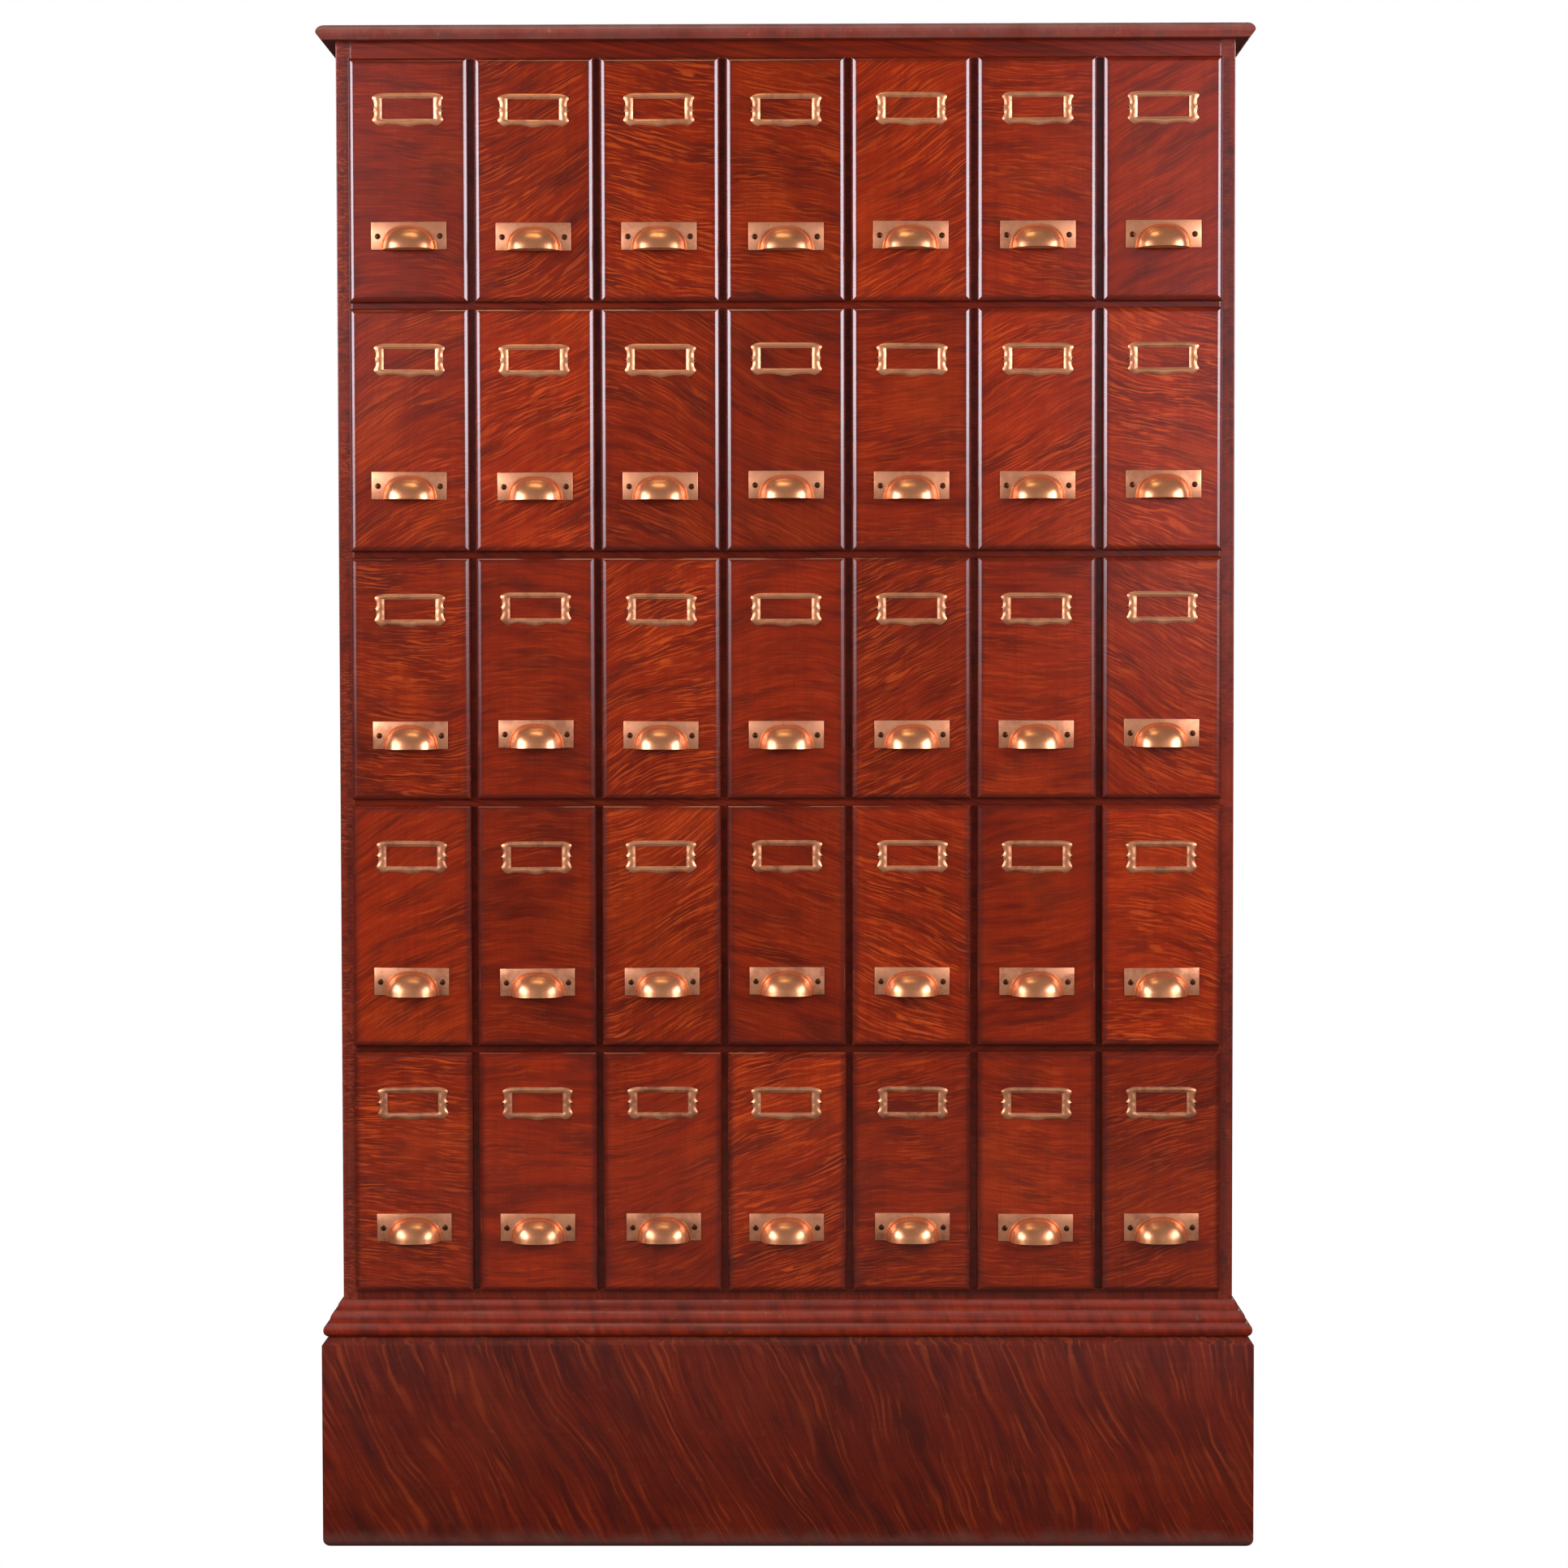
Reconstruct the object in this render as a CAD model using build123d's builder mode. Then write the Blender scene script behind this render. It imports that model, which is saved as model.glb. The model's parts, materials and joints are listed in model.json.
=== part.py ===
"""Apothecary cabinet: a free-standing carcass holding five rows of seven deep, narrow drawers.

Millimetres. +Z is up, +X is to the viewer's right and the drawers face -Y. The origin is on the
floor, under the centre of the cabinet's overall box.
"""

import os

from build123d import *

# Drawer grid
columns = 7
rows = 5
column_pitch = 127.0
row_pitch = 251.6
front_gap = 6.0  # seen between two drawer fronts
front_overlay = 2.0  # how far a front laps over the wood around its opening
divider = front_gap + 2 * front_overlay  # thickness of shelves and partitions

# Carcass
side_thickness = 15.0
carcass_depth = 380.0
lowest_opening_z = 263.0
top_rail_height = 19.5
top_board_thickness = 15.0
top_board_overhang = 18.0
top_board_round = 8.5
top_board_undercut = (5.0, 6.0)  # inwards, upwards
rail_depth = 20.0
top_rail_depth = 25.0
back_thickness = 8.0
back_board_gap = 0.4
bottom_board_thickness = 15.0
bottom_rail_height = 59.0
shelf_edge_depth = 30.0

# Base
plinth_projection = 20.0
plinth_height = 216.0
plinth_bevel = (7.0, 8.0)  # inwards, downwards
plinth_foot_round = 9.0
plinth_back_depth = 20.0
moulding_top_z = 251.5
block_size = 38.0
block_height = 150.0

# Drawers
face_thickness = 8.0
face_round = 4.5
face_clearance = 0.4  # behind the face, to the carcass front
box_length = 340.0
box_side_clearance = 0.8
box_under_clearance = 0.6
box_head_clearance = 4.4
box_wall = 8.0
box_inner_front = 10.0
box_bottom = 5.0
box_bottom_raise = 4.0

# Brass pull: a screwed plate with a half-round cup open at the bottom
pull_plate = (76.0, 28.0, 1.6)  # wide, high, thick
pull_above_front_bottom = 52.0
cup_half_width = 28.0
cup_radius = 22.0
cup_wall = 1.4
cup_axis_in_plate = 1.0
pull_screw_spacing = 63.0
pull_screw_height = 13.5

# Brass label frame
label_outer = (68.0, 32.0)
label_window = (51.5, 20.5)
label_thickness = 2.4
label_corner_lobe = 4.2
label_side_lobe = 3.0
label_below_front_top = 52.0
label_pin_spacing = 70.0

# Screws and pins: head radius, head height, tip radius, length behind the head
pull_screw = (3.2, 0.8, 0.6, 8.4)
label_pin = (1.3, 0.6, 0.4, 7.0)
hole_clearance = 0.05
top_screw_head = 4.0
top_screw_head_height = 2.4
top_screw_shank = 2.0
top_screw_length = 24.0

# Worked out from the values above
opening_width = column_pitch - divider
opening_height = row_pitch - divider
inside_width = columns * column_pitch - divider
inside_half = inside_width / 2
carcass_half = inside_half + side_thickness
highest_opening_z = lowest_opening_z + rows * row_pitch - divider
carcass_top_z = highest_opening_z + top_rail_height
front_width = column_pitch - front_gap
front_height = row_pitch - front_gap
box_width = opening_width - 2 * box_side_clearance
box_height = opening_height - box_under_clearance - box_head_clearance
pull_projection = face_clearance + face_thickness + cup_axis_in_plate + cup_radius
front_y = (pull_projection - carcass_depth) / 2  # the carcass's front plane
back_y = front_y + carcass_depth
inner_back_y = back_y - back_thickness

os.makedirs("parts", exist_ok=True)


def save(shape, name):
    shape.label = name
    export_step(shape, f"parts/{name}.step")


def board(x_range, y_range, z_range):
    """A plain board between the given limits."""
    with BuildPart() as plank:
        with Locations([(sum(x_range) / 2, sum(y_range) / 2, sum(z_range) / 2)]):
            Box(x_range[1] - x_range[0], y_range[1] - y_range[0], z_range[1] - z_range[0])
    return plank.part


def group(pieces):
    """Separate solids that share one node."""
    return Compound([solid for piece in pieces for solid in piece.solids()])


def column_x(column):
    return (column - (columns - 1) / 2) * column_pitch


def opening_z(row):
    """The floor of an opening, with row 0 at the top."""
    return lowest_opening_z + (rows - 1 - row) * row_pitch


# ---------------------------------------------------------------- top board

screw_places = [(x, y) for x in (-350, 0, 350) for y in (front_y + 60, back_y - 60)]

with BuildPart() as top_board:
    with Locations([(0, (front_y - top_board_overhang + back_y) / 2, carcass_top_z)]):
        Box(
            2 * (carcass_half + top_board_overhang),
            carcass_depth + top_board_overhang,
            top_board_thickness,
            align=(Align.CENTER, Align.CENTER, Align.MIN),
        )
    top_edges = top_board.edges().group_by(Axis.Z)[-1]
    front_top_edge = top_edges.filter_by(Axis.X).sort_by(Axis.Y)[0]
    fillet(top_edges.filter_by(Axis.Y) + [front_top_edge], top_board_round)
    under_edges = top_board.edges().group_by(Axis.Z)[0]
    front_under_edge = under_edges.filter_by(Axis.X).sort_by(Axis.Y)[0]
    chamfer(
        under_edges.filter_by(Axis.Y) + [front_under_edge],
        top_board_undercut[0],
        top_board_undercut[1],
        reference=top_board.faces().sort_by(Axis.Z)[0],
    )
    with Locations([(x, y, carcass_top_z) for x, y in screw_places]):
        Hole(top_screw_shank + hole_clearance, depth=top_screw_length - top_rail_height + 1)
save(top_board.part, "top_board")

# ---------------------------------------------------------------- carcass

for name, sign in (("left_side", -1), ("right_side", 1)):
    edges_x = sorted([sign * inside_half, sign * carcass_half])
    save(board(edges_x, (front_y, back_y), (0, carcass_top_z)), name)

save(
    board(
        (-inside_half, inside_half),
        (front_y, front_y + top_rail_depth),
        (highest_opening_z, carcass_top_z),
    ),
    "top_rail",
)

with BuildPart() as top_panel:
    with Locations([(0, (front_y + top_rail_depth + inner_back_y) / 2, highest_opening_z)]):
        Box(
            inside_width,
            inner_back_y - front_y - top_rail_depth,
            top_rail_height,
            align=(Align.CENTER, Align.CENTER, Align.MIN),
        )
    with Locations([(x, y, highest_opening_z) for x, y in screw_places]):
        Hole(top_screw_shank + hole_clearance)
        Hole(top_screw_head + hole_clearance, depth=top_screw_head_height)
save(top_panel.part, "top_panel")

# Screws up through the panel into the top board, their heads sunk in its underside.
with BuildPart() as top_screws:
    with BuildSketch(Plane.XY.offset(highest_opening_z)):
        with Locations(screw_places):
            Circle(top_screw_head)
    extrude(amount=top_screw_head_height)
    with BuildSketch(Plane.XY.offset(highest_opening_z)):
        with Locations(screw_places):
            Circle(top_screw_shank)
    extrude(amount=top_screw_length)
save(top_screws.part, "top_screws")

back_board_width = inside_width / columns
back_boards = []
for column in range(columns):
    left_x = -inside_half + column * back_board_width
    back_boards.append(
        board(
            (left_x, left_x + back_board_width - back_board_gap),
            (inner_back_y, back_y),
            (plinth_height, carcass_top_z),
        )
    )
save(group(back_boards), "back_boards")

save(
    board(
        (-inside_half, inside_half),
        (front_y, front_y + rail_depth),
        (lowest_opening_z - bottom_rail_height, lowest_opening_z),
    ),
    "bottom_rail",
)
save(
    board(
        (-inside_half, inside_half),
        (front_y + rail_depth, inner_back_y),
        (lowest_opening_z - bottom_board_thickness, lowest_opening_z),
    ),
    "bottom_board",
)

# Each shelf is an edge strip at the front and a dust board behind it.
for row in range(rows - 1):
    shelf_z = (opening_z(row) - divider, opening_z(row))
    edge_y = front_y + shelf_edge_depth
    strip = board((-inside_half, inside_half), (front_y, edge_y), shelf_z)
    dust_board = board((-inside_half, inside_half), (edge_y, inner_back_y), shelf_z)
    save(group([strip, dust_board]), f"shelf_{row + 1}")

# Each partition line is one upright between every two shelves.
for line in range(columns - 1):
    middle_x = column_x(line) + column_pitch / 2
    uprights = [
        board(
            (middle_x - divider / 2, middle_x + divider / 2),
            (front_y, inner_back_y),
            (opening_z(row), opening_z(row) + opening_height),
        )
        for row in range(rows)
    ]
    save(group(uprights), f"partition_{line + 1}")

# ---------------------------------------------------------------- base


def mitre_plane(sign):
    """The vertical plane through a front corner of the carcass, at 45 degrees."""
    return Plane(origin=(sign * carcass_half, front_y, 0), z_dir=(sign, 1, 0))


def skirt_front(profile):
    """A strip along the front, its ends mitred. The profile is (outwards, upwards)."""
    reach = carcass_half + 2 * plinth_projection
    with BuildPart() as strip:
        with BuildSketch(Plane(origin=(-reach, front_y, 0), x_dir=(0, -1, 0), z_dir=(-1, 0, 0))):
            add(profile)
        extrude(amount=-2 * reach)
        for sign in (-1, 1):
            split(bisect_by=mitre_plane(sign), keep=Keep.BOTTOM)
    return strip.part


def skirt_side(profile, sign):
    """A strip along one side, its front end mitred."""
    facing = Plane(origin=(sign * carcass_half, back_y, 0), x_dir=(sign, 0, 0), z_dir=(0, -sign, 0))
    with BuildPart() as strip:
        with BuildSketch(facing):
            add(profile)
        extrude(amount=sign * (carcass_depth + 2 * plinth_projection))
        split(bisect_by=mitre_plane(sign), keep=Keep.TOP)
    return strip.part


with BuildSketch() as plinth_profile:
    with BuildLine():
        foot = (plinth_projection - plinth_foot_round, 0)
        foot_end = (plinth_projection, plinth_foot_round)
        bevel_start = (plinth_projection, plinth_height - plinth_bevel[1])
        bevel_end = (plinth_projection - plinth_bevel[0], plinth_height)
        Line((0, 0), foot)
        RadiusArc(foot, foot_end, -plinth_foot_round)
        Line(foot_end, bevel_start)
        Line(bevel_start, bevel_end)
        Line(bevel_end, (0, plinth_height))
        Line((0, plinth_height), (0, 0))
    make_face()

with BuildSketch() as moulding_profile:
    with BuildLine():
        quarter_end = (5.5, moulding_top_z - 7.5)
        fillet_end = (6.2, moulding_top_z - 10.0)
        ovolo_end = (12.6, moulding_top_z - 20.0)
        quirk = (12.2, moulding_top_z - 21.8)
        torus_end = (13.0, plinth_height)
        ThreePointArc((0, moulding_top_z), (3.7, moulding_top_z - 2.6), quarter_end)
        Line(quarter_end, fillet_end)
        ThreePointArc(fillet_end, (10.7, moulding_top_z - 13.8), ovolo_end)
        Line(ovolo_end, quirk)
        ThreePointArc(quirk, (18.6, (quirk[1] + plinth_height) / 2), torus_end)
        Line(torus_end, (0, plinth_height))
        Line((0, plinth_height), (0, moulding_top_z))
    make_face()

save(skirt_front(plinth_profile.sketch), "plinth_front")
save(skirt_side(plinth_profile.sketch, -1), "plinth_left")
save(skirt_side(plinth_profile.sketch, 1), "plinth_right")
save(
    group(
        [
            skirt_front(moulding_profile.sketch),
            skirt_side(moulding_profile.sketch, -1),
            skirt_side(moulding_profile.sketch, 1),
        ]
    ),
    "base_moulding",
)
save(
    board((-inside_half, inside_half), (back_y - plinth_back_depth, back_y), (0, plinth_height)),
    "plinth_back",
)

# Blocks glued inside the plinth: at its four corners and behind the long front board.
blocks = []
for sign in (-1, 1):
    corner_x = sorted([sign * inside_half, sign * (inside_half - block_size)])
    for near_y in (front_y, back_y - plinth_back_depth - block_size):
        blocks.append(board(corner_x, (near_y, near_y + block_size), (0, block_height)))
    inner_x = sign * inside_half / 3
    blocks.append(
        board(
            (inner_x - block_size / 2, inner_x + block_size / 2),
            (front_y, front_y + block_size),
            (0, block_height),
        )
    )
save(group(blocks), "glue_blocks")

# ---------------------------------------------------------------- drawer pieces
# One drawer, with x = 0 at its middle, y = 0 at the carcass front and z = 0 at its opening's floor.

face_front_y = -(face_clearance + face_thickness)
face_bottom_z = -front_overlay
pull_bottom_z = face_bottom_z + pull_above_front_bottom
label_z = face_bottom_z + front_height - label_below_front_top
box_start_y = -face_clearance
box_bottom_z = box_under_clearance
pull_plane = Plane.XZ.offset(-face_front_y)


def tapered_fastener(head_radius, head_height, tip_radius, length, clearance=0.0):
    """A screw or pin along +Y with its head just in front of y = 0."""
    with BuildPart() as fastener:
        with BuildSketch(Plane.XY):
            Polygon(
                (0, -head_height),
                (head_radius + clearance, -head_height),
                (head_radius + clearance, 0),
                (tip_radius + clearance, length + clearance),
                (0, length + clearance),
                align=None,
            )
        revolve(axis=Axis.Y)
    return fastener.part


pull_screw_points = [
    (sign * pull_screw_spacing / 2, face_front_y - pull_plate[2], pull_bottom_z + pull_screw_height)
    for sign in (-1, 1)
]
label_pin_points = [
    (sign * label_pin_spacing / 2, face_front_y - label_thickness, label_z) for sign in (-1, 1)
]
screw_cutter = tapered_fastener(*pull_screw, clearance=hole_clearance)
pin_cutter = tapered_fastener(*label_pin, clearance=hole_clearance)

with BuildPart() as drawer_face:
    with BuildSketch(Plane.XZ.offset(face_clearance)):
        with Locations([(0, face_bottom_z)]):
            Rectangle(front_width, front_height, align=(Align.CENTER, Align.MIN))
    extrude(amount=face_thickness)
    fillet(drawer_face.faces().sort_by(Axis.Y)[0].edges(), face_round)
    with Locations(pull_screw_points):
        add(screw_cutter, mode=Mode.SUBTRACT)
    with Locations(label_pin_points):
        add(pin_cutter, mode=Mode.SUBTRACT)

with BuildPart() as cup_pull:
    with BuildSketch(pull_plane):
        with Locations([(0, pull_bottom_z)]):
            Rectangle(pull_plate[0], pull_plate[1], align=(Align.CENTER, Align.MIN))
    extrude(amount=pull_plate[2])
    cup_plane = Plane.XZ.offset(cup_axis_in_plate - face_front_y)
    with BuildSketch(cup_plane):
        with Locations([(0, pull_bottom_z)]):
            Ellipse(cup_half_width, cup_radius)
            Ellipse(cup_half_width - cup_wall, cup_radius - cup_wall, mode=Mode.SUBTRACT)
            Rectangle(
                3 * cup_half_width,
                2 * cup_radius,
                align=(Align.CENTER, Align.MAX),
                mode=Mode.SUBTRACT,
            )
    cup_axis = Axis((0, face_front_y - cup_axis_in_plate, pull_bottom_z), (1, 0, 0))
    revolve(axis=cup_axis, revolution_arc=90)
    with Locations(pull_screw_points):
        add(screw_cutter, mode=Mode.SUBTRACT)

with BuildPart() as label_frame:
    with BuildSketch(pull_plane):
        with Locations([(0, label_z)]):
            Rectangle(*label_outer)
        lobe_x = label_outer[0] / 2 - label_corner_lobe / 2
        lobe_z = label_outer[1] / 2 - label_corner_lobe / 2
        with Locations([(x, label_z + z) for x in (-lobe_x, lobe_x) for z in (-lobe_z, lobe_z)]):
            Circle(label_corner_lobe)
        with Locations([(x, label_z) for x in (-label_pin_spacing / 2, label_pin_spacing / 2)]):
            Circle(label_side_lobe)
        with Locations([(0, label_z)]):
            Rectangle(*label_window, mode=Mode.SUBTRACT)
    extrude(amount=label_thickness)
    with Locations(label_pin_points):
        add(pin_cutter, mode=Mode.SUBTRACT)

half_box = box_width / 2
box_back_y = box_start_y + box_length
box_top_z = box_bottom_z + box_height
wall_y = (box_start_y + box_inner_front, box_back_y)
inner_x = (-half_box + box_wall, half_box - box_wall)
bottom_z = box_bottom_z + box_bottom_raise
box_boards = [
    board((-half_box, half_box), (box_start_y, wall_y[0]), (box_bottom_z, box_top_z)),
    board((-half_box, inner_x[0]), wall_y, (box_bottom_z, box_top_z)),
    board((inner_x[1], half_box), wall_y, (box_bottom_z, box_top_z)),
    board(inner_x, (box_back_y - box_wall, box_back_y), (bottom_z + box_bottom, box_top_z)),
    board(inner_x, wall_y, (bottom_z, bottom_z + box_bottom)),
]
screws = [tapered_fastener(*pull_screw).moved(Location(point)) for point in pull_screw_points]
pins = [tapered_fastener(*label_pin).moved(Location(point)) for point in label_pin_points]
drawer = group([drawer_face.part, *box_boards, cup_pull.part, label_frame.part, *screws, *pins])

for row in range(rows):
    for column in range(columns):
        place = Location((column_x(column), front_y, opening_z(row)))
        save(drawer.moved(place), f"drawer_r{row + 1}_c{column + 1}")
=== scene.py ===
"""Apothecary cabinet: stained quartersawn oak, pressed brass pulls and label frames. Metres.

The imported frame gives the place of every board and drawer. The boards, the drawers and their brass
are rebuilt here as bevelled meshes with procedural materials, each riding on its CAD body. Only the
screws under the top are shown as the CAD has them.
"""

import json
import math
import random

import bmesh
import bpy
from mathutils import Matrix, Vector, noise

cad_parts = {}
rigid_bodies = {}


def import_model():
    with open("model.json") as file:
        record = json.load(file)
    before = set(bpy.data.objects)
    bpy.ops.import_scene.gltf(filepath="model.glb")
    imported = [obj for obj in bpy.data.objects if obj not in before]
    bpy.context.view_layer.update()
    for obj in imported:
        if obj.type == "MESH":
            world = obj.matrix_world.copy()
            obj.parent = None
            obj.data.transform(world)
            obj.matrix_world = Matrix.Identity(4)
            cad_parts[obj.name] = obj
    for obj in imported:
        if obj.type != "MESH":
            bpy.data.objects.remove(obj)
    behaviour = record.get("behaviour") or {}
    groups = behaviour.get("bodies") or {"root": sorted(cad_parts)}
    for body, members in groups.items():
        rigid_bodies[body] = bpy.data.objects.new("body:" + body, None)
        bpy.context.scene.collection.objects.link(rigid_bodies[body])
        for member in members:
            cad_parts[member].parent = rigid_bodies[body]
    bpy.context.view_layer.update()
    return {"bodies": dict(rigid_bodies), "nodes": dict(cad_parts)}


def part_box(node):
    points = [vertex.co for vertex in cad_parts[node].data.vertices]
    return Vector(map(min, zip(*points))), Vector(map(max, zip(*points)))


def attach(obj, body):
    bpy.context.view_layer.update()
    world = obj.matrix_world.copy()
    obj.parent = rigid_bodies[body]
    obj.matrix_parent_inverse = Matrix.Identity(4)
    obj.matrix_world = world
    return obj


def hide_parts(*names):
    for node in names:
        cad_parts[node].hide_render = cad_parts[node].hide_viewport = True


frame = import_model()

MM = 0.001
SEED = 11
# Edges that turn by more than this many degrees are shaded sharp on the lofted pieces.
SHARP_ABOVE = 32

# ------------------------------------------------------------------ places read from the frame

side_low, side_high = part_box("left_side")
right_low, right_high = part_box("right_side")
FRONT_Y = side_low.y
BACK_Y = side_high.y
CARCASS_HALF = right_high.x
INSIDE_HALF = right_low.x
PLINTH_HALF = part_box("plinth_right")[1].x
PLINTH_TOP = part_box("plinth_front")[1].z
MOULDING_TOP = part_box("base_moulding")[1].z

# A drawer's own dimensions, the same as in the CAD
FACE_BACK_GAP = 0.4 * MM
FACE_THICKNESS = 8 * MM
BOX_WALL = 8 * MM
BOX_INNER_FRONT = 10 * MM
BOX_BOTTOM = 5 * MM
BOX_BOTTOM_RAISE = 4 * MM
BOX_LENGTH = 340 * MM
BOX_SIDE_INSET = 2.8 * MM
BOX_FOOT_INSET = 2.6 * MM
PULL_ABOVE_FACE_BOTTOM = 52 * MM
LABEL_BELOW_FACE_TOP = 52 * MM
SCREW_SPACING = 63 * MM
PIN_SPACING = 70 * MM

drawers = sorted(body for body in frame["bodies"] if body.startswith("drawer_"))
face_low, face_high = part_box(drawers[0])
FACE_WIDTH = face_high.x - face_low.x
FACE_HEIGHT = face_high.z - face_low.z
BOX_BELOW_FACE_HEIGHT = 9 * MM
BOX_HEIGHT = FACE_HEIGHT - BOX_BELOW_FACE_HEIGHT


# ------------------------------------------------------------------ mesh helpers


def new_object(name, mesh, location=(0, 0, 0)):
    obj = bpy.data.objects.new(name, mesh)
    bpy.context.scene.collection.objects.link(obj)
    obj.location = location
    return obj


def finish_mesh(bm, name, smooth=True):
    bmesh.ops.recalc_face_normals(bm, faces=bm.faces)
    mesh = bpy.data.meshes.new(name)
    bm.to_mesh(mesh)
    bm.free()
    for polygon in mesh.polygons:
        polygon.use_smooth = smooth
    return mesh


BROAD_FACE_WEIGHT = 100


def weigh_normals(obj):
    """Keeps the broad faces flat and lets the rounded edges shade round."""
    modifier = obj.modifiers.new("Weighted normals", "WEIGHTED_NORMAL")
    modifier.weight = BROAD_FACE_WEIGHT
    modifier.keep_sharp = True


def add_board(bm, low, high, bevel, segments=3, material=0):
    """A board with rounded edges, added to bm."""
    made = bmesh.ops.create_cube(bm, size=1)["verts"]
    low, high = Vector(low), Vector(high)
    size, middle = high - low, (low + high) / 2
    for vert in made:
        vert.co = Vector((vert.co.x * size.x, vert.co.y * size.y, vert.co.z * size.z)) + middle
    edges = {edge for vert in made for edge in vert.link_edges}
    faces = {face for vert in made for face in vert.link_faces}
    for face in faces:
        face.material_index = material
    if bevel:
        bmesh.ops.bevel(
            bm, geom=list(edges), offset=bevel, segments=segments, profile=0.5, affect="EDGES",
            clamp_overlap=True, material=material,
        )


def add_loft(bm, rings, closed=True, cap=False, material=0):
    """Skins a list of rings that have the same number of points, and returns their vertices."""
    rows = [[bm.verts.new(point) for point in ring] for ring in rings]
    count = len(rows[0])
    steps = count if closed else count - 1
    for first, second in zip(rows, rows[1:]):
        for i in range(steps):
            j = (i + 1) % count
            face = bm.faces.new((first[i], first[j], second[j], second[i]))
            face.material_index = material
    if cap:
        for row in (rows[0], rows[-1]):
            bm.faces.new(row).material_index = material
    return rows


def arc(centre, radius, start, end, steps):
    """Points on an arc in a profile's plane, angles in degrees."""
    points = []
    for i in range(steps + 1):
        angle = math.radians(start + (end - start) * i / steps)
        across = centre[0] + radius[0] * math.cos(angle)
        up = centre[1] + radius[1] * math.sin(angle)
        points.append((across, up))
    return points


# ------------------------------------------------------------------ node helpers


class Shader:
    """Builds one material's node tree, a node at a time."""

    def __init__(self, name):
        self.material = bpy.data.materials.new(name)
        self.material.use_nodes = True
        self.tree = self.material.node_tree
        self.principled = self.tree.nodes["Principled BSDF"]

    def node(self, kind, **settings):
        made = self.tree.nodes.new(kind)
        for key, value in settings.items():
            setattr(made, key, value)
        return made

    def put(self, socket, value):
        """Links a socket to another one, or gives it a constant."""
        if isinstance(value, bpy.types.NodeSocket):
            self.tree.links.new(value, socket)
        else:
            socket.default_value = value

    def math(self, operation, a, b=0.0, c=0.0):
        made = self.node("ShaderNodeMath", operation=operation)
        for socket, value in zip(made.inputs, (a, b, c)):
            self.put(socket, value)
        return made.outputs[0]

    def add(self, a, b):
        """The sum of two vectors."""
        made = self.node("ShaderNodeVectorMath", operation="ADD")
        self.put(made.inputs[0], a)
        self.put(made.inputs[1], b)
        return made.outputs[0]

    def combine(self, x, y, z):
        made = self.node("ShaderNodeCombineXYZ")
        for socket, value in zip(made.inputs, (x, y, z)):
            self.put(socket, value)
        return made.outputs[0]

    def multiplied(self, values, factors):
        """A vector of three values, each multiplied by its own factor."""
        return self.combine(*(self.math("MULTIPLY", value, factor) for value, factor in zip(values, factors)))

    def stretched(self, values, lengths):
        """A vector of three values, each divided by its own length."""
        return self.combine(*(self.math("DIVIDE", value, length) for value, length in zip(values, lengths)))

    def separate(self, vector):
        made = self.node("ShaderNodeSeparateXYZ")
        self.put(made.inputs[0], vector)
        return made.outputs

    def noise(self, vector, scale=1.0, detail=2.0, roughness=0.5):
        made = self.node("ShaderNodeTexNoise")
        self.put(made.inputs["Vector"], vector)
        made.inputs["Scale"].default_value = scale
        made.inputs["Detail"].default_value = detail
        made.inputs["Roughness"].default_value = roughness
        return made.outputs["Fac"]

    def step(self, value, low, high, to_low=0.0, to_high=1.0):
        """A smooth step from to_low to to_high as the value goes from low to high."""
        made = self.node("ShaderNodeMapRange", interpolation_type="SMOOTHSTEP")
        self.put(made.inputs["Value"], value)
        made.inputs["From Min"].default_value = low
        made.inputs["From Max"].default_value = high
        made.inputs["To Min"].default_value = to_low
        made.inputs["To Max"].default_value = to_high
        return made.outputs["Result"]

    def mix(self, factor, a, b, blend="MIX"):
        made = self.node("ShaderNodeMix", data_type="RGBA", blend_type=blend)
        self.put(made.inputs[0], factor)
        self.put(made.inputs[6], a)
        self.put(made.inputs[7], b)
        return made.outputs[2]

    def bump(self, height, strength, distance, normal=None):
        made = self.node("ShaderNodeBump")
        self.put(made.inputs["Height"], height)
        made.inputs["Strength"].default_value = strength
        made.inputs["Distance"].default_value = distance
        if normal is not None:
            self.put(made.inputs["Normal"], normal)
        return made.outputs["Normal"]

    def set(self, **values):
        """Sets the surface's own sockets, their names written with underscores."""
        for key, value in values.items():
            self.put(self.principled.inputs[key.replace("_", " ")], value)


def srgb(red, green, blue):
    """A colour given as 0 to 255 display values."""
    linear = []
    for value in (red, green, blue):
        value /= 255
        linear.append(value / 12.92 if value <= 0.04045 else ((value + 0.055) / 1.055) ** 2.4)
    return (*linear, 1.0)


# ------------------------------------------------------------------ oak


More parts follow.
